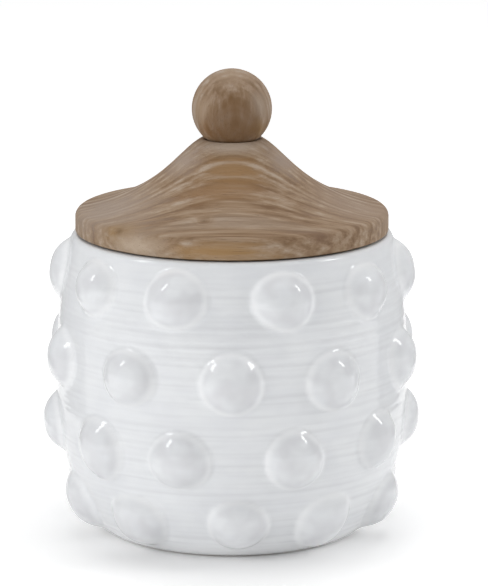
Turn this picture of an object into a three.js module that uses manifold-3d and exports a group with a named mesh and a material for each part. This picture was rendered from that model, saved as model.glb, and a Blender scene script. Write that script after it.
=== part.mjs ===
// Hobnail canister: a glazed ceramic jar with staggered rows of round studs, and a turned wooden
// lid with a ball knob and a silicone seal. Millimetres, +Z up, the front faces -Y, and the origin
// is the centre of the circle that the jar stands on.
import * as THREE from "three";
import { mergeVertices } from "three/addons/utils/BufferGeometryUtils.js";
import Module from "manifold-3d";

// Jar, outside
const JAR_HEIGHT = 113.3;
const FOOT_RADIUS = 44;
const FOOT_REACH = 13.8; // how far the underside runs out level before it turns up
const BELLY_RADIUS = 65.8;
const BELLY_LOW = 52; // the wall stands upright between these two heights
const BELLY_HIGH = 66;
const BELLY_REACH = 20; // how far the wall runs down plumb before it turns in
const RIM_RADIUS = 60.3;
const RIM_ROUND = 2.2;

// Jar, inside and underneath
const BELLY_WALL = 5.5;
const RIM_WALL = 5;
const LIP_ROUND = 1.2;
const MOUTH_DEPTH = 12; // straight stretch that the seal presses on
const FLOOR_THICKNESS = 6;
const FOOT_WALL = 6; // how much smaller the inner floor is than the foot
const FOOT_RING_WIDTH = 6;
const FOOT_RECESS = 2;
const RECESS_SLOPE = 3;

// Studs
const STUDS_PER_ROW = 10;
const STUD_RADIUS = 11.2;
const STUD_HEIGHT = 5.7;
const STUD_FLARE = 1.3; // glaze that fills the corner between stud and wall
const STUD_ROOT = 2.4; // depth to which a stud goes into the wall
const FRONT = -90; // bearing of the photographed side, in degrees from +X
const TOP_ROW_DROP = 14; // from the rim to the middle of the top row
const BOTTOM_ROW_RISE = 14.2;
// The rows were set by hand: each one's lift and its turn, from the top row down
const ROWS = [
  { lift: 0, turn: -1.4 },
  { lift: -1.4, turn: 0 },
  { lift: -1.4, turn: 2.8 },
  { lift: 0, turn: 0 },
];

// Lid
const LID_RADIUS = 58.6;
const LID_HEIGHT = 35.1;
const LID_GAP = 0.6; // dark line between the rim and the lid
const BAND_HEIGHT = 8.4;
const BAND_TOP_ROUND = 2.8;
const BAND_BOTTOM_ROUND = 0.8;
const BRIM_SLOPE = 10.3; // degrees
const BRIM_REACH = 29.9; // pull of the brim on the ogee
const SHOULDER_SLOPE = 25.3; // degrees
const SHOULDER_REACH = 10.4; // pull of the shoulder on the ogee
const PLUG_DEPTH = 11;
const PLUG_CLEARANCE = 2; // between the plug and the mouth
const PLUG_CHAMFER = 1;

// Seal
const GROOVE_DROP = 3; // from the lid's underside
const GROOVE_WIDTH = 5.4;
const GROOVE_DEPTH = 3;
const SEAL_LIPS = 3;
const SEAL_LIP_TIP = 0.5;
const SEAL_LIP_ROOT = 1.1;

// Knob and its screw
const KNOB_RADIUS = 15;
const KNOB_SINK = 4.3; // depth of the dish that the ball sits in
const SCREW_RADIUS = 2.2;
const SCREW_BITE = 13; // length of screw in the ball
const SCREW_TIP = 4;
const SCREW_HEAD_RADIUS = 4.4;
const SCREW_HEAD_HEIGHT = 3.2;
const SCREW_RECESS_DEPTH = 1.8;
const SCREW_RECESS_LENGTH = 4.4;
const SCREW_RECESS_WIDTH = 1.1;
const SCREW_GRIP = 18; // wood between the screw head and the dish
const COUNTERBORE_RADIUS = 6;

// Gap between pieces that touch
const FIT = 0.3;

// Facets
const JAR_SEGMENTS = 40;
const LID_SEGMENTS = 44;
const SEAL_SEGMENTS = 40;
const KNOB_SEGMENTS = 28;
const SCREW_SEGMENTS = 16;
const STUD_SEGMENTS = 12;
const STUD_RINGS = 3;
const OUTSIDE_STEPS = 7;
const INSIDE_STEPS = 5;
const OGEE_STEPS = 12;
const KNOB_STEPS = 12;
const ROUND_STEPS = 3;
const BISECTIONS = 40;

// Heights that follow from the sizes above
const LID_BASE = JAR_HEIGHT + LID_GAP;
const LID_TOP = LID_BASE + LID_HEIGHT;
const PLUG_BASE = LID_BASE - PLUG_DEPTH;
const KNOB_CENTRE = LID_TOP - KNOB_SINK + KNOB_RADIUS;
const MOUTH_RADIUS = RIM_RADIUS - RIM_WALL;
const PLUG_RADIUS = MOUTH_RADIUS - PLUG_CLEARANCE;
const DISH_RADIUS = KNOB_RADIUS + FIT;
const SCREW_HOLE = SCREW_RADIUS + FIT;
const COUNTERBORE_TOP = KNOB_CENTRE - DISH_RADIUS - SCREW_GRIP;

const wasm = await Module();
wasm.setup();

const at = (radius, height) => new THREE.Vector2(radius, height);
const radians = THREE.MathUtils.degToRad;
const degrees = THREE.MathUtils.radToDeg;

// Points on an arc in the profile plane, from one angle to the other, in degrees.
function arc(centre, radius, from, to, steps) {
  return Array.from({ length: steps + 1 }, (_, i) => {
    const angle = radians(from + ((to - from) * i) / steps);
    return at(centre.x + radius * Math.cos(angle), centre.y + radius * Math.sin(angle));
  });
}

// A solid of revolution about Z from a profile of (radius, height) points.
function turned(profile, segments) {
  return new THREE.LatheGeometry(profile, segments).rotateX(Math.PI / 2);
}

function closed(profile) {
  return [...profile, profile[0].clone()];
}

// A closed geometry as a solid that can be joined and cut.
function solidOf(geometry) {
  const bare = geometry.clone();
  bare.deleteAttribute("normal");
  bare.deleteAttribute("uv");
  const merged = mergeVertices(bare);
  return new wasm.Manifold(
    new wasm.Mesh({
      numProp: 3,
      vertProperties: new Float32Array(merged.attributes.position.array),
      triVerts: new Uint32Array(merged.index.array),
    }),
  );
}

function geometryOf(solid) {
  const { vertProperties, triVerts } = solid.getMesh();
  const geometry = new THREE.BufferGeometry();
  geometry.setAttribute("position", new THREE.BufferAttribute(vertProperties, 3));
  geometry.setIndex(new THREE.BufferAttribute(triVerts, 1));
  geometry.computeVertexNormals();
  return geometry;
}

// The barrel's side as three curves, from the foot up to the start of the rim. The inside
// follows the same form with its own foot, belly and top.
function barrel(foot, belly, top) {
  return [
    new THREE.CubicBezierCurve(
      foot,
      at(foot.x + FOOT_REACH, foot.y),
      at(belly, BELLY_LOW - BELLY_REACH),
      at(belly, BELLY_LOW),
    ),
    new THREE.LineCurve(at(belly, BELLY_LOW), at(belly, BELLY_HIGH)),
    new THREE.QuadraticBezierCurve(
      at(belly, BELLY_HIGH),
      at(belly, (BELLY_HIGH + top.y) / 2),
      top,
    ),
  ];
}

const curvePoints = (curves, steps) =>
  curves.flatMap((curve) => curve.getPoints(curve.isLineCurve ? 1 : steps).slice(1));

const outside = barrel(
  at(FOOT_RADIUS, 0),
  BELLY_RADIUS,
  at(RIM_RADIUS, JAR_HEIGHT - RIM_ROUND),
);

// The wall's place and direction at a height.
function wallAt(height) {
  const curve = outside.find((piece) => piece.getPoint(1).y >= height) ?? outside.at(-1);
  let low = 0;
  let high = 1;
  for (let i = 0; i < BISECTIONS; i++) {
    const middle = (low + high) / 2;
    if (curve.getPoint(middle).y < height) low = middle;
    else high = middle;
  }
  return { point: curve.getPoint(low), direction: curve.getTangent(low) };
}

function jarShell() {
  const floor = FOOT_RECESS + FLOOR_THICKNESS;
  const recessEdge = FOOT_RADIUS - FOOT_RING_WIDTH;
  const inside = barrel(
    at(FOOT_RADIUS - FOOT_WALL, floor),
    BELLY_RADIUS - BELLY_WALL,
    at(MOUTH_RADIUS, JAR_HEIGHT - MOUTH_DEPTH),
  );
  const rimCentre = at(RIM_RADIUS - RIM_ROUND, JAR_HEIGHT - RIM_ROUND);
  const lipCentre = at(MOUTH_RADIUS + LIP_ROUND, JAR_HEIGHT - LIP_ROUND);
  return turned(
    [
      at(0, FOOT_RECESS),
      at(recessEdge - RECESS_SLOPE, FOOT_RECESS),
      at(recessEdge, 0),
      at(FOOT_RADIUS, 0),
      ...curvePoints(outside, OUTSIDE_STEPS),
      ...arc(rimCentre, RIM_ROUND, 0, 90, ROUND_STEPS).slice(1),
      ...arc(lipCentre, LIP_ROUND, 90, 180, ROUND_STEPS),
      ...curvePoints(inside, INSIDE_STEPS).reverse(),
      at(FOOT_RADIUS - FOOT_WALL, floor),
      at(0, floor),
    ],
    JAR_SEGMENTS,
  );
}

// One stud about Z, standing on the plane of zero height: a cap of a sphere, the flare of glaze
// round it, and a root that goes into the wall.
function stud() {
  const sphere = (STUD_RADIUS ** 2 + STUD_HEIGHT ** 2) / (2 * STUD_HEIGHT);
  const edge = degrees(Math.asin((sphere - STUD_HEIGHT) / sphere));
  const cap = arc(at(0, STUD_HEIGHT - sphere), sphere, edge, 90, STUD_RINGS);
  cap.at(-1).x = 0;
  return turned(
    [
      at(0, -STUD_ROOT),
      at(STUD_RADIUS + STUD_FLARE, -STUD_ROOT),
      at(STUD_RADIUS + STUD_FLARE, -STUD_FLARE),
      ...cap,
    ],
    STUD_SEGMENTS,
  );
}

// Rows alternate by half a pitch, and each stud stands square to the wall at its height.
function jarBody() {
  const pitch = 360 / STUDS_PER_ROW;
  const topRow = JAR_HEIGHT - TOP_ROW_DROP;
  const rowPitch = (topRow - BOTTOM_ROW_RISE) / (ROWS.length - 1);
  const studGeometry = stud();
  let body = solidOf(jarShell());
  ROWS.forEach(({ lift, turn }, row) => {
    const height = topRow - row * rowPitch + lift;
    const { point, direction } = wallAt(height);
    const tilt = Math.atan2(direction.y, -direction.x);
    const stagger = row % 2 === 0 ? pitch / 2 : 0;
    for (let i = 0; i < STUDS_PER_ROW; i++) {
      const bearing = FRONT + i * pitch + stagger + turn;
      const place = new THREE.Matrix4()
        .makeRotationZ(radians(bearing))
        .multiply(new THREE.Matrix4().makeTranslation(point.x, 0, height))
        .multiply(new THREE.Matrix4().makeRotationY(tilt));
      body = body.add(solidOf(studGeometry.clone().applyMatrix4(place)));
    }
  });
  return geometryOf(body);
}

// The lid's profile runs from the screw hole up the dish, down the ogee to the band, under to the
// plug with the seal's groove, and back up the counterbore.
function lid() {
  const dishStart = -degrees(Math.acos(SCREW_HOLE / DISH_RADIUS));
  const dishEnd = -degrees(Math.asin((KNOB_CENTRE - LID_TOP) / DISH_RADIUS));
  const dish = arc(at(0, KNOB_CENTRE), DISH_RADIUS, dishStart, dishEnd, ROUND_STEPS);
  const bandTop = at(LID_RADIUS - BAND_TOP_ROUND, LID_BASE + BAND_HEIGHT - BAND_TOP_ROUND);
  const bandBottom = at(LID_RADIUS - BAND_BOTTOM_ROUND, LID_BASE + BAND_BOTTOM_ROUND);
  const edge = arc(bandTop, BAND_TOP_ROUND, 90 - BRIM_SLOPE, 0, ROUND_STEPS);
  const lip = dish.at(-1);
  const brim = edge[0];
  const ogee = new THREE.CubicBezierCurve(
    lip,
    at(
      lip.x + SHOULDER_REACH * Math.cos(radians(SHOULDER_SLOPE)),
      lip.y - SHOULDER_REACH * Math.sin(radians(SHOULDER_SLOPE)),
    ),
    at(
      brim.x - BRIM_REACH * Math.cos(radians(BRIM_SLOPE)),
      brim.y + BRIM_REACH * Math.sin(radians(BRIM_SLOPE)),
    ),
    brim,
  );
  const grooveTop = LID_BASE - GROOVE_DROP;
  const grooveBase = grooveTop - GROOVE_WIDTH;
  const grooveRadius = PLUG_RADIUS - GROOVE_DEPTH;
  return turned(
    closed(
      [
        ...dish,
        ...ogee.getPoints(OGEE_STEPS).slice(1),
        ...edge.slice(1),
        ...arc(bandBottom, BAND_BOTTOM_ROUND, 0, -90, ROUND_STEPS),
        at(PLUG_RADIUS, LID_BASE),
        at(PLUG_RADIUS, grooveTop),
        at(grooveRadius, grooveTop),
        at(grooveRadius, grooveBase),
        at(PLUG_RADIUS, grooveBase),
        at(PLUG_RADIUS, PLUG_BASE + PLUG_CHAMFER),
        at(PLUG_RADIUS - PLUG_CHAMFER, PLUG_BASE),
        at(COUNTERBORE_RADIUS, PLUG_BASE),
        at(COUNTERBORE_RADIUS, COUNTERBORE_TOP),
        at(SCREW_HOLE, COUNTERBORE_TOP),
      ].reverse(),
    ),
    LID_SEGMENTS,
  );
}

// A band in the plug's groove, with lips that reach out to the mouth.
function lidSeal() {
  const top = LID_BASE - GROOVE_DROP - FIT;
  const base = top - GROOVE_WIDTH + 2 * FIT;
  const back = PLUG_RADIUS - GROOVE_DEPTH + FIT;
  const tip = MOUTH_RADIUS - FIT;
  const pitch = (top - base - SEAL_LIP_ROOT) / (SEAL_LIPS - 1);
  const lips = Array.from({ length: SEAL_LIPS }, (_, i) => {
    const middle = base + SEAL_LIP_ROOT / 2 + i * pitch;
    return [
      at(PLUG_RADIUS, middle - SEAL_LIP_ROOT / 2),
      at(tip, middle - SEAL_LIP_TIP / 2),
      at(tip, middle + SEAL_LIP_TIP / 2),
      at(PLUG_RADIUS, middle + SEAL_LIP_ROOT / 2),
    ];
  }).flat();
  return turned(closed([at(back, base), ...lips, at(back, top)]), SEAL_SEGMENTS);
}

// The ball, with a blind hole from below for the screw.
function knob() {
  const mouth = degrees(Math.acos(SCREW_HOLE / KNOB_RADIUS));
  const ball = arc(at(0, 0), KNOB_RADIUS, -mouth, 90, KNOB_STEPS);
  ball.at(-1).x = 0;
  const holeTop = -KNOB_RADIUS + SCREW_BITE + FIT;
  return turned([at(0, holeTop), at(SCREW_HOLE, holeTop), ...ball], KNOB_SEGMENTS);
}

// A pan-head screw that points up, with its head's shoulder at zero height.
function knobScrew() {
  const length = SCREW_GRIP + SCREW_BITE;
  const crown = SCREW_HEAD_HEIGHT / 2;
  const blank = solidOf(
    turned(
      [
        at(0, -SCREW_HEAD_HEIGHT),
        at(SCREW_HEAD_RADIUS - crown, -SCREW_HEAD_HEIGHT),
        at(SCREW_HEAD_RADIUS, -crown),
        at(SCREW_HEAD_RADIUS, 0),
        at(SCREW_RADIUS, 0),
        at(SCREW_RADIUS, length - SCREW_TIP),
        at(0, length),
      ],
      SCREW_SEGMENTS,
    ),
  );
  const slot = new THREE.BoxGeometry(
    SCREW_RECESS_LENGTH,
    SCREW_RECESS_WIDTH,
    2 * SCREW_RECESS_DEPTH,
  ).translate(0, 0, -SCREW_HEAD_HEIGHT);
  const cross = solidOf(slot).add(solidOf(slot.clone().rotateZ(Math.PI / 2)));
  return geometryOf(blank.subtract(cross));
}

const glaze = new THREE.MeshStandardMaterial({ color: 0xf0f1f2, roughness: 0.12 });
const lidWood = new THREE.MeshStandardMaterial({ color: 0x9a8268, roughness: 0.6 });
const knobWood = new THREE.MeshStandardMaterial({ color: 0x83684e, roughness: 0.55 });
const silicone = new THREE.MeshStandardMaterial({ color: 0xe4e3df, roughness: 0.45 });
const zinc = new THREE.MeshStandardMaterial({ color: 0xb8bbc0, roughness: 0.35, metalness: 1 });

function piece(name, geometry, material, height = 0) {
  const mesh = new THREE.Mesh(geometry, material);
  mesh.name = name;
  mesh.position.z = height;
  return mesh;
}

const cover = new THREE.Group();
cover.add(
  piece("lid", lid(), lidWood),
  piece("knob", knob(), knobWood, KNOB_CENTRE),
  piece("knob_screw", knobScrew(), zinc, COUNTERBORE_TOP - FIT),
);

const canister = new THREE.Group();
canister.add(
  piece("jar_body", jarBody(), glaze),
  piece("lid_seal", lidSeal(), silicone),
  cover,
);

export default canister;
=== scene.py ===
# Looks of a hobnail canister: a thrown and glazed ceramic jar with round studs, and a turned
# wooden lid with a ball knob, a silicone seal and a screw. The front faces -Y. Profiles and meshes
# are worked out in millimetres, and become metres when a mesh is made.
import math

import bpy
import numpy as np
from mathutils import Color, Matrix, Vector


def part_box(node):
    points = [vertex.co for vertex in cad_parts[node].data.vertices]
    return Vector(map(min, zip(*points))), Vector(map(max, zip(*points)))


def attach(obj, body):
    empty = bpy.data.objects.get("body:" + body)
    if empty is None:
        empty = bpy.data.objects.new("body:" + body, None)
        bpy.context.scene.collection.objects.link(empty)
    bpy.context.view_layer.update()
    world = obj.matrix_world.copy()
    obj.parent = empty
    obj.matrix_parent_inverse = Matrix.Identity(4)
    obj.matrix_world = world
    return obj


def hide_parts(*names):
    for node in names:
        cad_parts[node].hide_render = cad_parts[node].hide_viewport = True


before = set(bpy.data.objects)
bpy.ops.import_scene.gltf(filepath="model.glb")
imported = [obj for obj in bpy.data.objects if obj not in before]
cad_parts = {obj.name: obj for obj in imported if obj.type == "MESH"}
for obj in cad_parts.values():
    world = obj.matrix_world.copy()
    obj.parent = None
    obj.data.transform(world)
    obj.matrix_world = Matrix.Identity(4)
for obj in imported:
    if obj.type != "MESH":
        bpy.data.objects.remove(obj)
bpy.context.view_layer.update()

MM = 0.001
SEED = 7


def span(node):
    """Lowest and highest corner of a node of the frame, in millimetres."""
    low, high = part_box(node)
    return np.array(low) / MM, np.array(high) / MM


_, jar_high = span("jar_body")
lid_low, lid_high = span("lid")
seal_low, seal_high = span("lid_seal")
_, knob_high = span("knob")
screw_low, screw_high = span("knob_screw")

# Jar, outside
JAR_HEIGHT = jar_high[2]
FOOT_RADIUS = 44
FOOT_REACH = 13.8  # how far the underside runs out level before it turns up
BELLY_RADIUS = 65.8
BELLY_LOW = 52  # the wall stands upright between these two heights
BELLY_HIGH = 66
BELLY_REACH = 20  # how far the wall runs down plumb before it turns in
RIM_RADIUS = 60.3
RIM_ROUND = 2.2
JAR_CELL = 0.8  # size of the mesh's cells on the outside
JAR_COLUMNS = 520

# Jar, inside and underneath
BELLY_WALL = 5.5
MOUTH_RADIUS = 55.3
LIP_ROUND = 1.2
MOUTH_DEPTH = 12
INNER_FLOOR = 8
INNER_FOOT = 38
RECESS_RADIUS = 38
RECESS_SLOPE = 3
FOOT_RECESS = 2
INNER_CELL = 2.4
INNER_COLUMNS = JAR_COLUMNS // 4

# Studs
STUDS_PER_ROW = 10
STUD_RADIUS = 11.4
STUD_HEIGHT = 5.7
STUD_FULLNESS = 2.6  # power of the dome's outline: 2 is a parabola, more is flatter on top
STUD_HEIGHTS = (0.96, 1.04)  # least and most share of the usual height
# Least and most share of the radius by which a stud bulges, by the number of its bulges
STUD_BULGES = {2: (0.01, 0.035), 3: (0.005, 0.02)}
GLAZE_FILLET = 1.1  # glaze that fills the corner between a stud and the wall
CROWN_START = 0.8  # a stud's crown turns greyer between these heights
CROWN_END = 2.8
STUD_REACH = 18  # beyond this distance a stud has no effect
FRONT = -90  # bearing of the front, in degrees from +X
TOP_ROW_DROP = 14
BOTTOM_ROW_RISE = 14.2
ROWS = [(0, -1.4), (-1.4, 0), (-1.4, 2.8), (0, 0)]  # each row's lift and turn, from the top down
USUAL_SET = (0, 0, 1)
# Studs that were pressed on a little off their place or size: how far to the right and up, and the
# share of the usual size, by row and by number round from the front
HAND_SET = {
    (0, 8): (2.6, 0.4, 0.93),
    (0, 9): (0.5, 0.4, 0.98),
    (0, 0): (0.8, 0, 0.97),
    (0, 1): (-0.8, -0.5, 0.95),
    (1, 9): (1.0, -0.2, 0.95),
    (1, 1): (-1.4, -1.2, 1.0),
    (2, 8): (3.0, -0.8, 1.0),
    (2, 9): (-1.8, -0.9, 0.98),
    (2, 0): (0, -0.9, 0.98),
    (2, 1): (-1.4, 1.0, 0.95),
    (3, 0): (2.2, 0.9, 0.95),
    (3, 1): (-0.6, -0.3, 1.0),
}

# Finger marks that throwing left in the wall: a shallow spiral, with a slower one under it
MARK_PITCH = 2.3
MARK_DEPTH = 0.06
MARK_START = 3  # the marks begin this far above the foot, and are full at twice that
MARK_END = 5  # they end this far below the rim, and begin to fade at twice that
MARK_SWAY = 0.9  # how far the spiral runs early or late up the wall, in radians, and how often
MARK_SWAY_RATE = 0.37
MARK_LEAN = 0.4  # and how far it does so round the wall
MARK_LEAN_PHASE = 1
SLOW_SHARE = 0.4
SLOW_RATE = 0.63
SLOW_PHASE = 1.7

# Lid
LID_RADIUS = lid_high[0]
LID_TOP = lid_high[2]
PLUG_BASE = lid_low[2]
PLUG_DEPTH = 11
LID_BASE = PLUG_BASE + PLUG_DEPTH
BAND_HEIGHT = 8.4
BAND_TOP_ROUND = 2.8
BAND_BOTTOM_ROUND = 0.8
BRIM_SLOPE = 10.3
BRIM_REACH = 29.9
SHOULDER_SLOPE = 25.3
SHOULDER_REACH = 10.4
DISH_LIP = 1.3  # softened edge of the dish
PLUG_RADIUS = 53.3
PLUG_CHAMFER = 1
GROOVE_DROP = 3
GROOVE_WIDTH = 5.4
GROOVE_DEPTH = 3
COUNTERBORE_RADIUS = 6
LID_CELL = 0.9
LID_COLUMNS = 240

# Knob
KNOB_RADIUS = knob_high[0]
KNOB_CENTRE = knob_high[2] - KNOB_RADIUS
FIT = 0.3
DISH_RADIUS = KNOB_RADIUS + FIT
SCREW_HOLE = 2.5
SCREW_BITE = 13
KNOB_CELL = 0.6
KNOB_COLUMNS = 128

# Seal
SEAL_LIPS = 3
SEAL_LIP_TIP = 0.5
SEAL_LIP_ROOT = 1.1
SEAL_COLUMNS = 200

# Screw
SCREW_HEAD_HEIGHT = 3.2
SCREW_CREST = 2.2
SCREW_CORE = 1.55
SCREW_TIP = 4
SCREW_PLAIN = 9  # shank without thread under the head
THREAD_PITCH = 1.8
THREAD_STEEPNESS = 3  # at 2 the thread's flanks would meet at its root
CROSS_ARM = 2.2  # length of an arm, from the middle of the cross
CROSS_HALF_WIDTH = 0.55
CROSS_DEPTH = 1.8
CROSS_SLOPE = 0.11  # how far a side of the cross slopes, to both sides of its edge
CROSS_FULL = 1.65  # an arm is at its full depth up to here
SCREW_CELL = 0.15
SCREW_COLUMNS = 48

# Smoothness of the meshes
SAME_POINT = 1e-6  # points closer than this are one
EDGE_STEPS = 6  # stretches of a small rounded edge, of the screw's head and of the dish
HEAD_STEPS = 8
DISH_STEPS = 24
WOOD_CREASE = 35  # edges that turn by more degrees than this stay sharp
SEAL_CREASE = 50
SCREW_CREASE = 40
NO_CREASE = 180


# Profiles: lines of (radius, height) points

def bezier(*points, steps=60):
    """Points along a Bezier curve of any degree."""
    t = np.linspace(0, 1, steps + 1)[:, None]
    level = [np.array(point, float) + 0 * t for point in points]
    while len(level) > 1:
        level = [a + (b - a) * t for a, b in zip(level, level[1:])]
    return level[0]


def polar(centre, radius, angle):
    """The point, or points, at that distance and angle in degrees from a centre."""
    turn = np.radians(angle)
    return np.array(centre) + radius * np.stack([np.cos(turn), np.sin(turn)], axis=-1)


def arc(centre, radius, start, stop, steps=12):
    """Points along an arc, from one angle in degrees to another."""
    return polar(centre, radius, np.linspace(start, stop, steps + 1))


def chain(*parts):
    """Lines joined end to end, without doubled points."""
    points = np.vstack([np.atleast_2d(part) for part in parts])
    step = np.linalg.norm(np.diff(points, axis=0), axis=1)
    return points[np.concatenate([[True], step > SAME_POINT])]


def even(points, cell):
    """The same line, with its points spread evenly about one cell apart."""
    step = np.linalg.norm(np.diff(points, axis=0), axis=1)
    along = np.concatenate([[0], np.cumsum(step)])
    where = np.linspace(0, along[-1], max(2, round(along[-1] / cell) + 1))
    return np.column_stack([np.interp(where, along, values) for values in np.transpose(points)])


def filled(points, cell):
    """The same corners, with points about one cell apart between them."""
    return chain(*[even(np.array(pair), cell) for pair in zip(points, points[1:])])


# Meshes: rings of points about Z, bridged into one surface

def bearings(columns):
    """Directions spread evenly round Z."""
    return np.arange(columns) * 2 * math.pi / columns


def ring_of(bearing, radius, height):
    """A ring of points at those bearings, with one radius or a radius for each of them."""
    out = np.column_stack([np.cos(bearing), np.sin(bearing)])
    return np.column_stack([out * np.reshape(radius, (-1, 1)), np.full(len(bearing), height)])


def turned(profile, columns):
    """A ring of points for each point of the profile. A point on the axis is a pole."""
    rings = []
    for radius, height in profile:
        if radius < SAME_POINT:
            rings.append(np.array([[0, 0, height]]))
        else:
            rings.append(ring_of(bearings(columns), radius, height))
    return rings


def side_of(ring, i, count):
    """The vertices that a ring gives to face i of a bridge with that many faces."""
    if len(ring) == 1:
        return [ring[0]]
    share = len(ring) // count
    return [ring[k % len(ring)] for k in range(i * share, (i + 1) * share + 1)]


def bridge(low, high):
    """Faces between two rings of vertex numbers, where one count is a multiple of the other."""
    counts = (len(low), len(high))
    count = max(counts) if 1 in counts else min(counts)
    return [side_of(low, i, count) + side_of(high, i, count)[::-1] for i in range(count)]


def surface(name, rings, material, loop=False, crease=NO_CREASE):
    """An object from rings that run anticlockwise in the profile, so that its faces look outward.
    Edges sharper than the crease angle stay sharp."""
    start = np.cumsum([0] + [len(ring) for ring in rings])
    numbers = [list(range(a, b)) for a, b in zip(start, start[1:])]
    pairs = list(zip(numbers, numbers[1:]))
    if loop:
        pairs.append((numbers[-1], numbers[0]))
    faces = [face for low, high in pairs for face in bridge(low, high)]
    mesh = bpy.data.meshes.new(name)
    mesh.from_pydata(np.vstack(rings) * MM, [], faces)
    mesh.shade_smooth()
    mesh.set_sharp_from_angle(angle=math.radians(crease))
    mesh.materials.append(material)
    piece = bpy.data.objects.new(name, mesh)
    bpy.context.scene.collection.objects.link(piece)
    return piece


def smooth_max(a, b, width):
    """The larger of two, with the corner between them rounded over that width."""
    return np.maximum(a, b) + np.maximum(width - np.abs(a - b), 0) ** 2 / (4 * width)


def ease(value, start, stop):
    """0 before start, 1 after stop, and smooth between."""
    t = np.clip((value - start) / (stop - start), 0, 1)
    return t * t * (3 - 2 * t)


# The jar

def barrel(foot, belly, top):
    """The jar's side, from its foot up to the start of the rim."""
    return chain(
        bezier(
            foot,
            (foot[0] + FOOT_REACH, foot[1]),
            (belly, BELLY_LOW - BELLY_REACH),
            (belly, BELLY_LOW),
        ),
        bezier((belly, BELLY_HIGH), (belly, (BELLY_HIGH + top[1]) / 2), top),
    )


def outer_wall():
    return barrel((FOOT_RADIUS, 0), BELLY_RADIUS, (RIM_RADIUS, JAR_HEIGHT - RIM_ROUND))


def stud_places():
    """Each stud's centre on the wall, its directions (sideways, up the wall and out), and how it
    was set by hand: sideways, up, and its share of the usual size."""
    wall = outer_wall()
    slope = np.gradient(wall, axis=0)
    slope /= np.linalg.norm(slope, axis=1)[:, None]
    pitch = 360 / STUDS_PER_ROW
    top_row = JAR_HEIGHT - TOP_ROW_DROP
    row_pitch = (top_row - BOTTOM_ROW_RISE) / (len(ROWS) - 1)
    for row, (lift, turn) in enumerate(ROWS):
        height = top_row - row * row_pitch + lift
        radius, inward, upward = (
            np.interp(height, wall[:, 1], values) for values in (wall[:, 0], *slope.T)
        )
        stagger = pitch / 2 if row % 2 == 0 else 0
        for i in range(STUDS_PER_ROW):
            bearing = math.radians(FRONT + i * pitch + stagger + turn)
            out = np.array([math.cos(bearing), math.sin(bearing), 0])
            side = np.array([-math.sin(bearing), math.cos(bearing), 0])
            up = inward * out + np.array([0, 0, upward])
            centre = out * radius + np.array([0, 0, height])
            yield centre, side, up, np.cross(side, up), HAND_SET.get((row, i), USUAL_SET)


def stud_dome(across, upward, size, draw):
    """Height of one hand-pressed stud over its base plane, which goes on falling beyond its edge.
    Each stud is a little out of round."""
    angle = np.arctan2(upward, across)
    outline = np.ones(len(angle))
    for count, shares in STUD_BULGES.items():
        outline += draw.uniform(*shares) * np.cos(count * (angle - draw.uniform(0, math.pi)))
    reach = np.hypot(across, upward) / (STUD_RADIUS * size * outline)
    inside = 1 - np.minimum(reach, 1) ** STUD_FULLNESS
    beyond = STUD_FULLNESS * np.maximum(reach - 1, 0)
    return STUD_HEIGHT * draw.uniform(*STUD_HEIGHTS) * (inside - beyond)


def finger_marks(points):
    """How far each point of the wall stands out on the spiral that throwing left, from -1 to 1."""
    bearing = np.arctan2(points[:, 1], points[:, 0])
    height = points[:, 2]
    turn = 2 * math.pi * height / MARK_PITCH
    sway = MARK_SWAY * np.sin(MARK_SWAY_RATE * turn + np.cos(bearing))
    lean = MARK_LEAN * np.sin(2 * bearing + MARK_LEAN_PHASE)
    spiral = np.sin(turn - bearing + sway + lean)
    slow_spiral = np.sin(SLOW_RATE * turn - bearing + SLOW_PHASE)
    shown = ease(height, MARK_START, 2 * MARK_START)
    shown *= 1 - ease(height, JAR_HEIGHT - 2 * MARK_END, JAR_HEIGHT - MARK_END)
    return shown * ((1 - SLOW_SHARE) * spiral + SLOW_SHARE * slow_spiral)


def with_studs(points):
    """The wall's points, lifted where a stud stands under the glaze. Also, from 0 to 1 at each of
    them, how far it lies in the ring round a stud's foot, which the glaze whitens partly as pooling
    glaze and partly as a painted highlight, and how far up a stud's crown it lies."""
    draw = np.random.default_rng(SEED)
    lifted = points.copy()
    pooled_and_lit = np.zeros(len(points))
    crown = np.zeros(len(points))
    for centre, side, up, out, (right, lift, size) in stud_places():
        near = np.linalg.norm(points - centre, axis=1) < STUD_REACH
        local = points[near] - centre
        rise = stud_dome(local @ side - right, local @ up - lift, size, draw) - local @ out
        lifted[near] += smooth_max(rise, 0, GLAZE_FILLET)[:, None] * out
        covered = ease(rise, CROWN_START, CROWN_END)
        # ring round the stud's foot: whiter glaze, partly pooling, partly a painted highlight
        ring = ease(rise, -GLAZE_FILLET / 2, CROWN_START) * (1 - covered)
        pooled_and_lit[near] = np.maximum(pooled_and_lit[near], ring)
        crown[near] = np.maximum(crown[near], covered)
    return lifted, pooled_and_lit, crown


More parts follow.
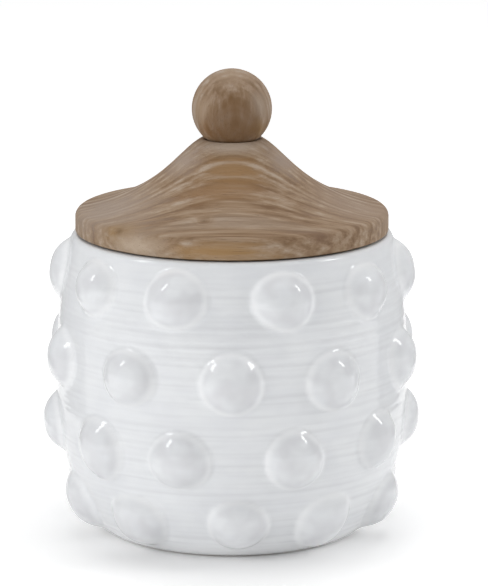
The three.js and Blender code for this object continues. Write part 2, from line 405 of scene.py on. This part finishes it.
def glazed_jar(material):
    rim = arc((RIM_RADIUS - RIM_ROUND, JAR_HEIGHT - RIM_ROUND), RIM_ROUND, 0, 90)
    outside = turned(even(chain(outer_wall(), rim), JAR_CELL), JAR_COLUMNS)
    wall = np.vstack(outside)
    marks = finger_marks(wall)
    outward = wall * (1, 1, 0) / np.linalg.norm(wall[:, :2], axis=1)[:, None]
    points, pooled_and_lit, crown = with_studs(wall + outward * (MARK_DEPTH * marks)[:, None])
    outside = np.split(points, len(outside))
    underneath = filled(
        [
            (0, FOOT_RECESS),
            (RECESS_RADIUS - RECESS_SLOPE, FOOT_RECESS),
            (RECESS_RADIUS, 0),
            (FOOT_RADIUS - JAR_CELL, 0),
        ],
        INNER_CELL,
    )
    lip_centre = (MOUTH_RADIUS + LIP_ROUND, JAR_HEIGHT - LIP_ROUND)
    lip = arc(lip_centre, LIP_ROUND, 90, 180, steps=EDGE_STEPS)
    inner_wall = barrel(
        (INNER_FOOT, INNER_FLOOR),
        BELLY_RADIUS - BELLY_WALL,
        (MOUTH_RADIUS, JAR_HEIGHT - MOUTH_DEPTH),
    )
    inside = even(chain(lip[-1], inner_wall[::-1], (0, INNER_FLOOR)), INNER_CELL)
    below = turned(underneath, INNER_COLUMNS)
    within = turned(chain(lip, inside[1:]), INNER_COLUMNS)
    jar = surface("glazed_jar", below + outside + within, material)
    before = sum(len(ring) for ring in below)
    for name, shares in (("pooled_and_lit", pooled_and_lit), ("crown", crown), ("mark", marks * (1 - crown))):
        values = np.zeros(len(jar.data.vertices), np.float32)
        values[before : before + len(shares)] = shares
        jar.data.attributes.new(name, "FLOAT", "POINT").data.foreach_set("value", values)
    return jar


# The lid and what it carries

def turned_lid(material):
    lip_angle = -math.degrees(math.asin((KNOB_CENTRE - LID_TOP) / DISH_RADIUS))
    hole_angle = -math.degrees(math.acos(SCREW_HOLE / DISH_RADIUS))
    softened = math.degrees(DISH_LIP / DISH_RADIUS)
    centre = (0, KNOB_CENTRE)
    dish = arc(centre, DISH_RADIUS, hole_angle, lip_angle - softened, steps=DISH_STEPS)
    lip = polar(centre, DISH_RADIUS, lip_angle)
    band_top = (LID_RADIUS - BAND_TOP_ROUND, LID_BASE + BAND_HEIGHT - BAND_TOP_ROUND)
    edge = arc(band_top, BAND_TOP_ROUND, 90 - BRIM_SLOPE, 0)
    shoulder = polar(lip, SHOULDER_REACH, -SHOULDER_SLOPE)
    brim = polar(edge[0], BRIM_REACH, 180 - BRIM_SLOPE)
    ogee = even(bezier(lip, shoulder, brim, edge[0]), DISH_LIP)[1:]
    top = chain(dish, bezier(dish[-1], lip, ogee[0], steps=EDGE_STEPS), ogee, edge)
    band_bottom = (LID_RADIUS - BAND_BOTTOM_ROUND, LID_BASE + BAND_BOTTOM_ROUND)
    under_edge = arc(band_bottom, BAND_BOTTOM_ROUND, 0, -90, steps=EDGE_STEPS)
    band = even(np.array([edge[-1], under_edge[0]]), LID_CELL)
    groove_top = LID_BASE - GROOVE_DROP
    groove_base = groove_top - GROOVE_WIDTH
    counterbore_top = screw_low[2] + SCREW_HEAD_HEIGHT + FIT
    bottom = filled(
        [
            (LID_RADIUS - BAND_BOTTOM_ROUND, LID_BASE),
            (PLUG_RADIUS, LID_BASE),
            (PLUG_RADIUS, groove_top),
            (PLUG_RADIUS - GROOVE_DEPTH, groove_top),
            (PLUG_RADIUS - GROOVE_DEPTH, groove_base),
            (PLUG_RADIUS, groove_base),
            (PLUG_RADIUS, PLUG_BASE + PLUG_CHAMFER),
            (PLUG_RADIUS - PLUG_CHAMFER, PLUG_BASE),
            (COUNTERBORE_RADIUS, PLUG_BASE),
            (COUNTERBORE_RADIUS, counterbore_top),
            (SCREW_HOLE, counterbore_top),
            tuple(dish[0]),
        ],
        2 * LID_CELL,
    )
    outline = chain(top, band, under_edge, bottom)[:-1]
    rings = turned(outline[::-1], LID_COLUMNS)
    return surface("turned_lid", rings, material, loop=True, crease=WOOD_CREASE)


def ball_knob(material):
    mouth = math.degrees(math.acos(SCREW_HOLE / KNOB_RADIUS))
    hole_top = KNOB_CENTRE - KNOB_RADIUS + SCREW_BITE + FIT
    steps = round(KNOB_RADIUS * math.pi / KNOB_CELL)
    ball = arc((0, KNOB_CENTRE), KNOB_RADIUS, -mouth, 90, steps=steps)
    ball[-1, 0] = 0
    hole = filled([(0, hole_top), (SCREW_HOLE, hole_top), tuple(ball[0])], KNOB_CELL)
    rings = turned(chain(hole, ball), KNOB_COLUMNS)
    return surface("ball_knob", rings, material, crease=WOOD_CREASE)


def seal_ring(material):
    """A band in the plug's groove, with soft round lips that reach out to the mouth."""
    base, top = seal_low[2], seal_high[2]
    back = PLUG_RADIUS - GROOVE_DEPTH + FIT
    tip_centre = seal_high[0] - SEAL_LIP_TIP / 2
    pitch = (top - base - SEAL_LIP_ROOT) / (SEAL_LIPS - 1)
    outline = [(back, base)]
    for i in range(SEAL_LIPS):
        middle = base + SEAL_LIP_ROOT / 2 + i * pitch
        outline.append((PLUG_RADIUS, middle - SEAL_LIP_ROOT / 2))
        outline.append(arc((tip_centre, middle), SEAL_LIP_TIP / 2, -90, 90, steps=EDGE_STEPS))
        outline.append((PLUG_RADIUS, middle + SEAL_LIP_ROOT / 2))
    outline.append((back, top))
    rings = turned(chain(*outline), SEAL_COLUMNS)
    return surface("seal_ring", rings, material, loop=True, crease=SEAL_CREASE)


def screw_shank(shoulder, tip):
    """Rings up the shank: plain under the head, then a thread, then the point."""
    bearing = bearings(SCREW_COLUMNS)
    rings = []
    for height in np.arange(shoulder, tip, SCREW_CELL):
        turns = (height - shoulder) / THREAD_PITCH - bearing / (2 * math.pi)
        flank = 1 - np.minimum(np.abs(turns % 1 - 0.5) * THREAD_STEEPNESS, 1)
        thread = SCREW_CORE + (SCREW_CREST - SCREW_CORE) * flank
        cut = ease(height, shoulder + SCREW_PLAIN, shoulder + SCREW_PLAIN + THREAD_PITCH)
        taper = min((tip - height) / SCREW_TIP, 1)
        rings.append(ring_of(bearing, (thread * cut + SCREW_CREST * (1 - cut)) * taper, height))
    return rings + [np.array([[0, 0, tip]])]


def with_cross(ring, base):
    """A ring of the head's underside, pushed in where the cross recess is."""
    along = np.abs(ring[:, :2]).max(1)
    beside = np.abs(ring[:, :2]).min(1)
    arm = 1 - ease(beside, CROSS_HALF_WIDTH - CROSS_SLOPE, CROSS_HALF_WIDTH + CROSS_SLOPE)
    end = 1 - ease(along, CROSS_FULL, CROSS_ARM)
    raised = ring.copy()
    raised[:, 2] = np.maximum(ring[:, 2], base + CROSS_DEPTH * arm * end)
    return raised


def knob_fixing_screw(material):
    base, tip = screw_low[2], screw_high[2]
    shoulder = base + SCREW_HEAD_HEIGHT
    head = screw_high[0]
    crown = SCREW_HEAD_HEIGHT / 2
    underside = even(np.array([(SCREW_CELL, base), (head - crown, base)]), SCREW_CELL)
    under = [with_cross(ring, base) for ring in turned(underside, SCREW_COLUMNS)]
    rim = chain(
        arc((head - crown, base + crown), crown, -90, 0, steps=HEAD_STEPS)[1:],
        [(head, shoulder), (SCREW_CREST, shoulder)],
    )
    pole = np.array([[0, 0, base + CROSS_DEPTH]])
    rings = [pole] + under + turned(rim, SCREW_COLUMNS) + screw_shank(shoulder, tip)[1:]
    return surface("knob_fixing_screw", rings, material, crease=SCREW_CREASE)


# Materials

ORIGIN = (0, 0, 0)
WHITE = (1, 1, 1, 1)
COLOUR_STEPS = 255
MIX_INPUTS = (0, 6, 7)  # sockets of a mix of colours: its share and its two colours
MIX_OUTPUT = 2
NARROW_SPAN = (0.35, 0.65)  # spans in which most, and nearly all, of a noise lies
WIDE_SPAN = (0.3, 0.7)


def srgb(*colour):
    """A colour written as it looks on a screen, from 0 to 255, as the shader takes it."""
    shown = Color([value / COLOUR_STEPS for value in colour])
    return (*shown.from_srgb_to_scene_linear(), 1)


def scaled(lengths, factor):
    return tuple(factor * length for length in lengths)


class Graph:
    """A node tree, with short calls that add a node and join its inputs."""

    def __init__(self, tree):
        self.tree = tree
        tree.nodes.clear()

    def add(self, kind, inputs=None, **settings):
        node = self.tree.nodes.new("ShaderNode" + kind)
        for name, value in settings.items():
            setattr(node, name, value)
        for socket, value in (inputs or {}).items():
            if isinstance(value, bpy.types.NodeSocket):
                self.tree.links.new(value, node.inputs[socket])
            else:
                node.inputs[socket].default_value = value
        return node

    def math(self, operation, a, b):
        return self.add("Math", {0: a, 1: b}, operation=operation).outputs[0]

    def total(self, values, shares):
        """The values added up, each by its share."""
        result = self.math("MULTIPLY", values[0], shares[0])
        for value, share in zip(values[1:], shares[1:]):
            result = self.math("ADD", result, self.math("MULTIPLY", value, share))
        return result

    def vector(self, operation, a, b, output="Vector"):
        return self.add("VectorMath", {0: a, 1: b}, operation=operation).outputs[output]

    def distance(self, a, b):
        return self.vector("DISTANCE", a, b, "Value")

    def place(self):
        """The point on the piece, in millimetres of the shared frame."""
        local = self.add("TexCoord").outputs["Object"]
        return self.vector("MULTIPLY", local, (1 / MM,) * 3)

    def attribute(self, name):
        """A number that is stored at each point of the mesh."""
        return self.add("Attribute", attribute_name=name).outputs["Fac"]

    def noise(self, place, grain, detail=2.0, roughness=0.5, output="Fac"):
        """Noise whose grains are about that many millimetres long along X, Y and Z."""
        where = self.vector("DIVIDE", place, grain)
        inputs = {"Vector": where, "Scale": 1.0, "Detail": detail, "Roughness": roughness}
        return self.add("TexNoise", inputs).outputs[output]

    def bands(self, along, width, detail=2.0):
        """Noise along one measure, in bands of about that width."""
        inputs = {"W": along, "Scale": 1 / width, "Detail": detail}
        return self.add("TexNoise", inputs, noise_dimensions="1D").outputs["Fac"]

    def ramp(self, value, stops):
        """The colours of the stops, by where the value lies between them."""
        node = self.add("ValToRGB", {"Fac": value})
        elements = node.color_ramp.elements
        while len(elements) < len(stops):
            elements.new(1)
        for element, (position, colour) in zip(elements, stops):
            element.position = position
            element.color = colour
        return node.outputs["Color"]

    def range(self, value, given, wanted=(0, 1)):
        """The value, taken from a given span to a wanted one and held at its ends."""
        inputs = {"Value": value, "From Min": given[0], "From Max": given[1]}
        inputs.update({"To Min": wanted[0], "To Max": wanted[1]})
        return self.add("MapRange", inputs).outputs["Result"]

    def blend(self, share, a, b):
        """The first colour where the share is 0, and the second where it is 1."""
        inputs = dict(zip(MIX_INPUTS, (share, a, b)))
        return self.add("Mix", inputs, data_type="RGBA").outputs[MIX_OUTPUT]

    def bump(self, height, depth):
        """Relief of that depth, in millimetres."""
        inputs = {"Height": height, "Strength": 1.0, "Distance": depth * MM}
        return self.add("Bump", inputs).outputs["Normal"]

    def finish(self, shader, kind="OutputMaterial"):
        self.add(kind, {"Surface": shader})

    def coat(self, inputs):
        """Ends the tree with one surface of those qualities."""
        self.finish(self.add("BsdfPrincipled", inputs).outputs["BSDF"])


def new_material(name):
    material = bpy.data.materials.new(name)
    material.use_nodes = True
    return material, Graph(material.node_tree)


# Glaze
GLAZE = srgb(236, 238, 240)
# whiter tone for the painted light towards the foot and for the ring round each stud
GLAZE_THICK_AND_LIT = srgb(251, 252, 253)
GLAZE_THIN = srgb(231, 233, 236)
GLAZE_CROWN = srgb(223, 224, 227)
# tone of the painted shade along the finger marks
GLAZE_MARK_SHADE = srgb(214, 215, 218)
BISQUE = srgb(214, 198, 178)
MOTTLE_GRAIN = (14, 14, 9)
CLOUD_GRAIN = (8, 8, 8)
CLOUD_SPAN = (0.42, 0.64)
STREAK_GRAIN = (24, 24, 2.5)
RIPPLE_GRAIN = (7, 7, 4)
RIPPLE_DEPTH = 0.12
FOOT_LIGHT_SPAN = (0.5, 12)  # painted light on the down-facing foot: the glaze grows whiter from the upper height down to the lower one
MARK_SPAN = (-0.6, 0.8)  # part of the finger marks' swing over which their painted shade comes in
MARK_SHARES = (0.05, 0.45)  # how strongly that painted shade shows, from streak to streak
# share by which that ring turns whiter: partly pooling glaze, partly a painted highlight
POOLED_AND_LIT_SHARE = 0.5
BARE_SPAN = (0.3, 0.1)  # the clay is bare below the second height, give or take a ragged edge
BARE_RAGGED = 0.1
GLAZE_ROUGHNESS = 0.08
BISQUE_ROUGHNESS = 0.8
GLAZE_IOR = 1.62


def glaze():
    """Clear gloss over white clay: whiter in a ring round each stud, partly pooling glaze and partly
    a painted highlight, and whiter towards the foot as painted light; greyer on the studs' crowns,
    with painted shade along the finger marks, and wiped off under the foot."""
    material, graph = new_material("glaze")
    place = graph.place()
    height = graph.add("SeparateXYZ", {"Vector": place}).outputs["Z"]
    mottle = graph.noise(place, MOTTLE_GRAIN, detail=3)
    cloud = graph.noise(place, CLOUD_GRAIN, detail=1)
    streak = graph.noise(place, STREAK_GRAIN)
    ripple = graph.noise(place, RIPPLE_GRAIN, detail=1)
    foot_light = graph.range(height, FOOT_LIGHT_SPAN, (1, 0))
    swing = graph.range(graph.attribute("mark"), MARK_SPAN)
    mark_shade = graph.math("MULTIPLY", swing, graph.range(streak, NARROW_SPAN, MARK_SHARES))
    greyed = graph.math("MULTIPLY", graph.attribute("crown"), graph.range(cloud, CLOUD_SPAN))
    pooled_and_lit = graph.math("MULTIPLY", graph.attribute("pooled_and_lit"), POOLED_AND_LIT_SHARE)
    tone = graph.blend(graph.range(mottle, NARROW_SPAN), GLAZE_THIN, GLAZE)
    # painted light: whiter towards the foot
    tone = graph.blend(foot_light, tone, GLAZE_THICK_AND_LIT)
    # painted shade along the finger marks
    tone = graph.blend(mark_shade, tone, GLAZE_MARK_SHADE)
    tone = graph.blend(greyed, tone, GLAZE_CROWN)
    # partly pooling glaze, partly a painted highlight, in the ring round each stud's foot
    tone = graph.blend(pooled_and_lit, tone, GLAZE_THICK_AND_LIT)
    ragged = graph.math("ADD", height, graph.range(mottle, (0, 1), (-BARE_RAGGED, BARE_RAGGED)))
    bare = graph.range(ragged, BARE_SPAN)
    graph.coat(
        {
            "Base Color": graph.blend(bare, tone, BISQUE),
            "Roughness": graph.range(bare, (0, 1), (GLAZE_ROUGHNESS, BISQUE_ROUGHNESS)),
            "IOR": GLAZE_IOR,
            "Normal": graph.bump(ripple, RIPPLE_DEPTH),
        }
    )
    return material


# Wood: grains and rings are measured across the fibres
SWAY = 4.5  # how far the rings wander, slowly and quickly
WAVER = 1.5
SWAY_GRAIN = 14
WAVER_GRAIN = 4
BROAD_RING = 3.6
FINE_RING = 0.9
FIBRE_GRAIN = 0.5
SMUDGE_GRAIN = 2.5
PORE_GRAIN = 0.3
PORE_SPAN = (0.38, 0.30)
PORE_SHARE = 0.3
TONE_SPAN = (0.38, 0.62)
KNOT_PUSH = 4  # how far a knot pushes the rings aside, and how fast that falls off
KNOT_PUSH_POWER = 2
KNOT_EYE_POWER = 4
KNOT_EYE_SHARE = 0.6
PATCH_RAGGED = 0.4  # how ragged a patch is and where it fades out, as shares of its reach
PATCH_FADE = (0.2, 1.2)
PATCH_SHARE = 0.7
CORE_RAGGED = 1 / 3  # how ragged the dark core is, as a share of its edge
CORE_SHARE = 0.75
WOOD_ROUGHNESS = (0.66, 0.54)
WOOD_RELIEF = 0.06
WOOD_DARK = srgb(84, 60, 40)


def wood(name, pith, squash, stretch, figure, palette, patches, dark_core, knots=()):
    """Oiled wood with growth rings round a pith line. squash flattens the rings along each axis, and
    stretch is how far the fibres run along it. figure is the share of broad rings, fine rings,
    fibres and smudges in the tone. Patches are soft areas of another colour, some of them real
    stains and some of them painted light: their place, their reach and their colour. The dark core
    is a darker core of the rings, on the lid partly painted shade: its radius, its edge and its
    colour. Knots push the rings aside: their place and their reach."""
    material, graph = new_material(name)
    place = graph.place()
    slow = graph.noise(place, scaled(stretch, SWAY_GRAIN), output="Color")
    quick = graph.noise(place, scaled(stretch, WAVER_GRAIN), output="Color")
    sway = graph.vector("MULTIPLY", slow, (SWAY,) * 3)
    waver = graph.vector("MULTIPLY", quick, (WAVER,) * 3)
    warped = graph.vector("ADD", graph.vector("ADD", place, sway), waver)
    centre = tuple(value + (SWAY + WAVER) / 2 for value in pith)
    offset = graph.vector("MULTIPLY", graph.vector("SUBTRACT", warped, centre), squash)
    ring = graph.distance(offset, ORIGIN)
    pores = graph.range(graph.noise(place, scaled(stretch, PORE_GRAIN)), PORE_SPAN)
    dark = graph.math("MULTIPLY", pores, PORE_SHARE)
    for spot, reach in knots:
        near = graph.range(graph.distance(place, spot), (0, reach), (1, 0))
        push = graph.math("MULTIPLY", graph.math("POWER", near, KNOT_PUSH_POWER), KNOT_PUSH)
        ring = graph.math("ADD", ring, push)
        eye = graph.math("MULTIPLY", graph.math("POWER", near, KNOT_EYE_POWER), KNOT_EYE_SHARE)
        dark = graph.math("MAXIMUM", dark, eye)
    broad = graph.bands(ring, BROAD_RING, detail=1.5)
    fine = graph.bands(ring, FINE_RING)
    fibre = graph.noise(place, scaled(stretch, FIBRE_GRAIN), detail=3, roughness=0.6)
    smudge = graph.noise(place, scaled(stretch, SMUDGE_GRAIN), detail=3)
    tone = graph.total((broad, fine, fibre, smudge), figure)
    colour = graph.ramp(graph.range(tone, TONE_SPAN), palette)
    patch_edge = graph.range(smudge, WIDE_SPAN, (-PATCH_RAGGED, PATCH_RAGGED))
    # the patches hold real stains and painted light alike
    for spot, reach, tint in patches:
        aside = graph.vector("DIVIDE", graph.vector("SUBTRACT", place, spot), reach)
        near = graph.math("ADD", graph.distance(aside, ORIGIN), patch_edge)
        colour = graph.blend(graph.range(near, PATCH_FADE, (PATCH_SHARE, 0)), colour, tint)
    radius, edge, core = dark_core
    core_edge = graph.range(smudge, WIDE_SPAN, (-edge * CORE_RAGGED, edge * CORE_RAGGED))
    ragged = graph.math("ADD", ring, core_edge)
    within = graph.range(ragged, (radius, radius + edge), (CORE_SHARE, 0))
    colour = graph.blend(within, colour, core)
    graph.coat(
        {
            "Base Color": graph.blend(dark, colour, WOOD_DARK),
            "Roughness": graph.range(tone, WIDE_SPAN, WOOD_ROUGHNESS),
            "Normal": graph.bump(graph.math("SUBTRACT", fibre, pores), WOOD_RELIEF),
        }
    )
    return material


# Wood of the lid
LID_PITH = (4, -46, LID_BASE + 20.1)
LID_SQUASH = (0.08, 1, 0.6)
LID_STRETCH = (20, 1, 1)
LID_FIGURE = (0.36, 0.06, 0.14, 0.44)
LID_PALETTE = [
    (0.0, srgb(114, 86, 60)),
    (0.4, srgb(141, 115, 88)),
    (0.7, srgb(157, 134, 110)),
    (1.0, srgb(173, 154, 135)),
]
LID_STAINS_AND_LIGHT = [
    ((-6, -58, LID_BASE + 3.1), (26, 6, 4), srgb(158, 122, 74)),
    ((-7, -28, LID_BASE + 20.1), (20, 6, 7), srgb(140, 106, 70)),
    ((0, -21, LID_BASE + 26.6), (14, 8, 7), srgb(147, 112, 70)),
    ((-44, -40, LID_BASE + 7.1), (10, 8, 5), srgb(152, 122, 80)),
    ((30, -48, LID_BASE + 7.1), (18, 4, 3), srgb(116, 88, 66)),
    # partly paler wood, partly painted light on the band's lit left side
    ((-34, -47, LID_BASE + 3.1), (16, 12, 5), srgb(190, 172, 152)),
    # painted sheen at the lid's left edge, and in the next patch at its right edge
    ((-45, -15, LID_BASE + 10.1), (25, 24, 10), srgb(162, 146, 133)),
    ((45, -10, LID_BASE + 10.1), (25, 20, 10), srgb(154, 133, 115)),
    ((-18, -9, LID_BASE + 28.1), (9, 9, 8), srgb(167, 150, 137)),
    ((19, -7, LID_BASE + 28.1), (8, 9, 8), srgb(161, 144, 131)),
    # painted highlight on the dish's lip under the ball
    ((0, -12, LID_TOP - 1), (16, 9, 3), srgb(196, 180, 164)),
]
# darker core of the rings on the front brim: partly the wood's figure, partly painted shade on the
# up-facing brim
LID_HEART_AND_SHADE = (4, 4, srgb(132, 112, 93))
LID_KNOTS = [((-10, -43, LID_BASE + 11.6), 6), ((-41, -41, LID_BASE + 7.6), 7)]

# Wood of the knob
KNOB_PITH = (0.8, -13, KNOB_CENTRE - 10)
KNOB_SQUASH = (0.9, 1, 0.5)
KNOB_STRETCH = (1, 1, 6)
KNOB_FIGURE = (0.4, 0.08, 0.08, 0.44)
KNOB_PALETTE = [
    (0.0, srgb(118, 91, 64)),
    (0.4, srgb(143, 118, 93)),
    (0.7, srgb(157, 135, 114)),
    (1.0, srgb(171, 153, 136)),
]
KNOB_STAINS_AND_LIGHT = [
    # the next three are painted light on the ball's left flank, its top and its right flank
    ((-11, -8, KNOB_CENTRE + 1), (5, 6, 7), srgb(163, 140, 116)),
    ((0, -4, KNOB_CENTRE + 14), (9, 8, 5), srgb(162, 140, 117)),
    ((10, -10, KNOB_CENTRE + 2), (5, 6, 6), srgb(164, 147, 130)),
    ((-9, -10, KNOB_CENTRE - 7), (5, 6, 4), srgb(134, 97, 58)),
    ((10, -10, KNOB_CENTRE - 6), (4, 6, 4), srgb(146, 116, 74)),
]
KNOB_HEART = (7.5, 3, srgb(112, 82, 50))

# Silicone
SILICONE_GRAIN = (6, 6, 6)
SILICONE_TONES = [(0.3, srgb(222, 220, 214)), (0.7, srgb(232, 231, 227))]
SILICONE_ROUGHNESS = (0.38, 0.5)
SILICONE_MILKINESS = 0.35
SILICONE_SCATTER = (1, 0.9, 0.8)
SILICONE_DEPTH = 1.5


def silicone():
    material, graph = new_material("silicone")
    cloud = graph.noise(graph.place(), SILICONE_GRAIN, detail=3)
    graph.coat(
        {
            "Base Color": graph.ramp(cloud, SILICONE_TONES),
            "Roughness": graph.range(cloud, WIDE_SPAN, SILICONE_ROUGHNESS),
            "Subsurface Weight": SILICONE_MILKINESS,
            "Subsurface Radius": SILICONE_SCATTER,
            "Subsurface Scale": SILICONE_DEPTH * MM,
        }
    )
    return material


# Zinc
ZINC_GRAIN = (1.2, 1.2, 1.2)
ZINC_TONES = [(0.3, srgb(176, 178, 182)), (0.7, srgb(208, 208, 204))]
ZINC_ROUGHNESS = (0.28, 0.42)
ZINC_RELIEF = 0.02


def zinc():
    material, graph = new_material("zinc")
    spangle = graph.noise(graph.place(), ZINC_GRAIN, detail=4)
    graph.coat(
        {
            "Base Color": graph.ramp(spangle, ZINC_TONES),
            "Metallic": 1.0,
            "Roughness": graph.range(spangle, WIDE_SPAN, ZINC_ROUGHNESS),
            "Normal": graph.bump(spangle, ZINC_RELIEF),
        }
    )
    return material


# Floor, light and camera, in metres and degrees

FLOOR_SIZE = 12
FLOOR_DROP = 0.0001  # the floor lies clear of the foot by this much
FLOOR_COLOUR = srgb(250, 250, 250)
GLOW_SPAN = (0.06, 1.2)  # the floor looks whiter with the distance from the jar
GLOW = (0.24, 0.64)
PAINTED_SHADOW_CENTRE = (0, -0.04, 0)  # less so round this point in front of the jar: a painted shadow that deepens the real one
PAINTED_SHADOW_SPAN = (0.015, 0.07)
PAINTED_SHADOW_GLOW = (0.2, 1)
AMBIENT = 0.3
ROOM = (0.45, 0.6)  # the room behind the camera, and behind the jar, as the gloss sees it
ROOM_SPAN = (-0.9, -0.1)  # it changes between these directions, where -1 is the front
CARD_ASIDE = 0.2  # grey cards stand this far to both sides, and between these lines behind the jar
CARD_NEAR = 0.02
CARD_FAR = 0.8
CARD_TOP = 0.2
CARD_TONE = 0.5
LAMP_DISTANCE = 0.9
LAMP_AIM = Vector((0, 0, 0.085))
# Each lamp: bearing from the front and height above level, width, length, light level, and whether
# the gloss shows it
LAMPS = {
    "softbox_left": (-72, 36, 0.16, 0.30, 0.09, True),
    "softbox_right": (82, 36, 0.13, 0.30, 0.10, True),
    "fill_left": (-40, 15, 0.6, 0.5, 0.35, False),
    "fill_right": (86, 15, 0.6, 0.5, 0.25, False),
    "overhead": (180, 76, 0.8, 0.8, 0.52, False),
}
LEVEL_ONE = math.pi ** 2  # watts that light a white card to white from one metre
PHOTO_WIDTH = 488
PHOTO_HEIGHT = 586
FOCAL_PIXELS = 3991
AXIS_COLUMN = 232  # where the jar's axis stands in the photograph
SENSOR = 36
CAMERA_DISTANCE = 1.5
CAMERA_ELEVATION = 12.15
CAMERA_TARGET = 0.0895


def seen_directly(graph):
    """1 for what the camera sees, straight on or by way of gloss or glass."""
    path = graph.add("LightPath").outputs
    mirrored = graph.math("MAXIMUM", path["Is Glossy Ray"], path["Is Transmission Ray"])
    return graph.math("MAXIMUM", path["Is Camera Ray"], mirrored)


def flat(name, corners, material):
    """A piece of the stage: one flat face."""
    mesh = bpy.data.meshes.new(name)
    mesh.from_pydata(corners, [], [tuple(range(len(corners)))])
    mesh.materials.append(material)
    face = bpy.data.objects.new(name, mesh)
    bpy.context.scene.collection.objects.link(face)
    return face


def make_floor():
    half = FLOOR_SIZE / 2
    material, graph = new_material("pale_floor")
    place = graph.add("TexCoord").outputs["Object"]
    glow = graph.range(graph.distance(place, ORIGIN), GLOW_SPAN, GLOW)
    # painted shadow: the floor glows less round a point in front of the jar
    painted_shadow = graph.range(graph.distance(place, PAINTED_SHADOW_CENTRE), PAINTED_SHADOW_SPAN, PAINTED_SHADOW_GLOW)
    strength = graph.math("MULTIPLY", graph.math("MULTIPLY", glow, painted_shadow), seen_directly(graph))
    paper = graph.add("BsdfDiffuse", {"Color": FLOOR_COLOUR}).outputs[0]
    lift = graph.add("Emission", {"Strength": strength}).outputs[0]
    graph.finish(graph.add("AddShader", {0: paper, 1: lift}).outputs[0])
    corners = [(-half, -half, 0), (half, -half, 0), (half, half, 0), (-half, half, 0)]
    flat("floor", corners, material).location.z = -FLOOR_DROP


def make_cards():
    """Cards that the gloss shows at the jar's two edges, so that these stand out from the white."""
    material, graph = new_material("grey_card")
    graph.finish(graph.add("Emission", {"Strength": CARD_TONE}).outputs[0])
    for name, aside in (("card_left", -CARD_ASIDE), ("card_right", CARD_ASIDE)):
        bottom = [(aside, CARD_NEAR, 0), (aside, CARD_FAR, 0)]
        top = [(aside, CARD_FAR, CARD_TOP), (aside, CARD_NEAR, CARD_TOP)]
        card = flat(name, bottom + top, material)
        card.visible_camera = False
        card.visible_diffuse = False
        card.visible_shadow = False


def make_world():
    """A white backdrop, a dimmer room that the gloss shows, and an even light from all round."""
    world = bpy.data.worlds.new("studio")
    bpy.context.scene.world = world
    world.use_nodes = True
    graph = Graph(world.node_tree)
    direction = graph.add("TexCoord").outputs["Generated"]
    backward = graph.add("SeparateXYZ", {"Vector": direction}).outputs["Y"]
    camera = graph.add("LightPath").outputs["Is Camera Ray"]
    shown = graph.math("MAXIMUM", graph.range(backward, ROOM_SPAN, ROOM), camera)
    backdrop = graph.add("Background", {"Color": WHITE, "Strength": shown}).outputs[0]
    fill = graph.add("Background", {"Color": WHITE, "Strength": AMBIENT}).outputs[0]
    mixed = graph.add("MixShader", {0: seen_directly(graph), 1: fill, 2: backdrop}).outputs[0]
    graph.finish(mixed, "OutputWorld")


def set_up(thing, target, bearing, rise, distance):
    """Puts a lamp or a camera that far from its target, at a bearing from the front and a height
    above level, and aims it."""
    turn = math.radians(bearing)
    tilt = math.radians(rise)
    level = math.cos(tilt)
    out = Vector((math.sin(turn) * level, -math.cos(turn) * level, math.sin(tilt)))
    thing.location = target + out * distance
    thing.rotation_euler = (-out).to_track_quat("-Z", "Y").to_euler()
    bpy.context.scene.collection.objects.link(thing)


def make_lamps():
    for name, (bearing, rise, width, length, level, glossy) in LAMPS.items():
        light = bpy.data.lights.new(name, "AREA")
        light.shape = "RECTANGLE"
        light.size = width
        light.size_y = length
        light.energy = LEVEL_ONE * LAMP_DISTANCE ** 2 * level
        lamp = bpy.data.objects.new(name, light)
        lamp.visible_camera = False
        lamp.visible_glossy = glossy
        set_up(lamp, LAMP_AIM, bearing, rise, LAMP_DISTANCE)


def make_camera():
    data = bpy.data.cameras.new("camera")
    data.sensor_width = SENSOR
    data.lens = FOCAL_PIXELS * SENSOR / PHOTO_HEIGHT
    camera = bpy.data.objects.new("camera", data)
    aside = (PHOTO_WIDTH / 2 - AXIS_COLUMN) * CAMERA_DISTANCE / FOCAL_PIXELS
    target = Vector((aside, 0, CAMERA_TARGET))
    set_up(camera, target, 0, CAMERA_ELEVATION, CAMERA_DISTANCE)
    bpy.context.scene.camera = camera


# Assembly

def dress(piece, body, node):
    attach(piece, body)
    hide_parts(node)


lid_wood = wood(
    "lid_wood",
    LID_PITH,
    LID_SQUASH,
    LID_STRETCH,
    LID_FIGURE,
    LID_PALETTE,
    LID_STAINS_AND_LIGHT,
    LID_HEART_AND_SHADE,
    LID_KNOTS,
)
knob_wood = wood(
    "knob_wood",
    KNOB_PITH,
    KNOB_SQUASH,
    KNOB_STRETCH,
    KNOB_FIGURE,
    KNOB_PALETTE,
    KNOB_STAINS_AND_LIGHT,
    KNOB_HEART,
)
dress(glazed_jar(glaze()), "jar", "jar_body")
dress(turned_lid(lid_wood), "lid", "lid")
dress(ball_knob(knob_wood), "lid", "knob")
dress(seal_ring(silicone()), "seal", "lid_seal")
dress(knob_fixing_screw(zinc()), "lid", "knob_screw")

make_floor()
make_cards()
make_world()
make_lamps()
make_camera()
bpy.context.scene.view_settings.view_transform = "Standard"
